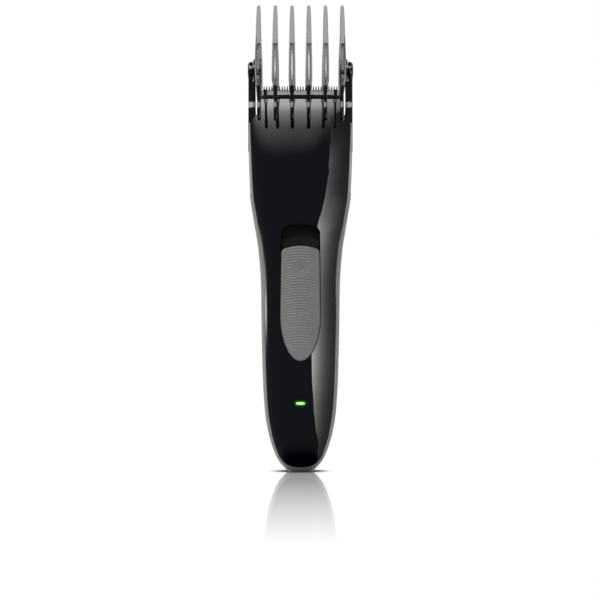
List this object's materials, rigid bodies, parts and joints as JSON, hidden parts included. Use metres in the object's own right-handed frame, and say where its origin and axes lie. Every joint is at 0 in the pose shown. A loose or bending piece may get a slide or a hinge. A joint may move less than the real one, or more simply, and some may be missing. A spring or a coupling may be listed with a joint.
{
  "type": "hair clipper",
  "caption": "Cordless hair clipper with a thumb slider, a charge light and a pivoting clear comb attachment on sliding arms.",
  "frame": {"origin": "centre of the base that it stands on, midway across and midway between the comb's front and back", "axes": "+Z from the base to the comb's tips, front with the slider facing -Y, +X to the right seen from the front"},
  "size_m": [0.0474, 0.042, 0.2095],
  "materials": {
    "arm_black": "gloss black acetal",
    "black_nylon": "black nylon",
    "blade_steel": "ground and polished steel",
    "bronze": "sintered bronze",
    "cell_sleeve": "plain green sleeve",
    "clear_resin": "clear resin",
    "copper_tab": "tinned copper",
    "cutter_black": "semi-gloss black",
    "gloss_black": "high gloss black",
    "green_board": "solder mask",
    "green_lens": "glowing green lens",
    "grey_nylon": "grey filled nylon",
    "grip_grey": "soft-touch grey with fine ribs",
    "lead_red": "insulated wire",
    "matte_black": "fine matt black",
    "motor_core": "laminated core with windings",
    "motor_steel": "plated steel",
    "nickel": "bright nickel",
    "satin_grey": "satin grey moulded plastic",
    "screw_steel": "zinc plated",
    "smoky_clear": "clear plastic with a smoky tint",
    "spring_steel": "spring steel",
    "white_acetal": "natural acetal"
  },
  "bodies": {
    "housing": {"rear_casing": "satin_grey", "front_casing": "gloss_black", "switch_tray": "matte_black", "slide_switch_body": "black_nylon", "led_lens": "green_lens", "charge_led": "clear_resin", "circuit_board": "green_board", "battery_cells": "cell_sleeve", "battery_contacts": "nickel", "charging_socket": "black_nylon", "socket_pins": "nickel", "charge_leads": "lead_red", "motor_leads": "lead_red", "inner_chassis": "grey_nylon", "casing_screws": "screw_steel", "motor_can": "motor_steel", "motor_end_cap": "black_nylon", "motor_terminals": "copper_tab", "motor_bush": "bronze", "fixed_blade": "blade_steel", "blade_guides": "matte_black", "cutter_frame": "cutter_black", "blade_screws": "screw_steel", "blade_spring": "spring_steel"},
    "rotor": {"motor_shaft": "motor_steel", "rotor_core": "motor_core", "eccentric_cam": "white_acetal"},
    "cutter": {"moving_blade": "blade_steel", "drive_yoke": "white_acetal"},
    "switch": {"slider_base": "matte_black", "slider_grip": "grip_grey", "switch_contact": "black_nylon"},
    "carriage": {"right_arm": "arm_black", "left_arm": "arm_black", "pivot_pins": "arm_black", "pivot_springs": "spring_steel", "length_carriage": "black_nylon", "button_spring": "spring_steel"},
    "comb": {"comb_tines": "smoky_clear", "comb_crossbar": "smoky_clear", "comb_side_webs": "smoky_clear"},
    "selector": {"length_button": "arm_black"}
  },
  "joints": [
    {"name": "switch_slide", "type": "slide", "parent": "housing", "child": "switch", "axis": [0, 0, 1], "range_m": [0, 0.0048]},
    {"name": "rotor_spin", "type": "hinge", "parent": "housing", "child": "rotor", "pos_m": [0, -0.0015, 0.15], "axis": [0, 0, 1], "continuous": true},
    {"name": "blade_slide", "type": "slide", "parent": "housing", "child": "cutter", "axis": [1, 0, 0], "range_m": [-0.001, 0.001]},
    {"name": "comb_slide", "type": "slide", "parent": "housing", "child": "carriage", "axis": [0, 0, 1], "range_m": [-0.018, 0]},
    {"name": "comb_pivot", "type": "hinge", "parent": "carriage", "child": "comb", "pos_m": [0, 0, 0.1799], "axis": [1, 0, 0], "range_deg": [-5, 5], "stiffness_Nm_per_rad": 0.03},
    {"name": "button_press", "type": "slide", "parent": "carriage", "child": "selector", "axis": [0, -1, 0], "range_m": [0, 0.0007], "stiffness_N_per_m": 40, "springref_m": -0.004, "deforming": ["button_spring"]}
  ]
}
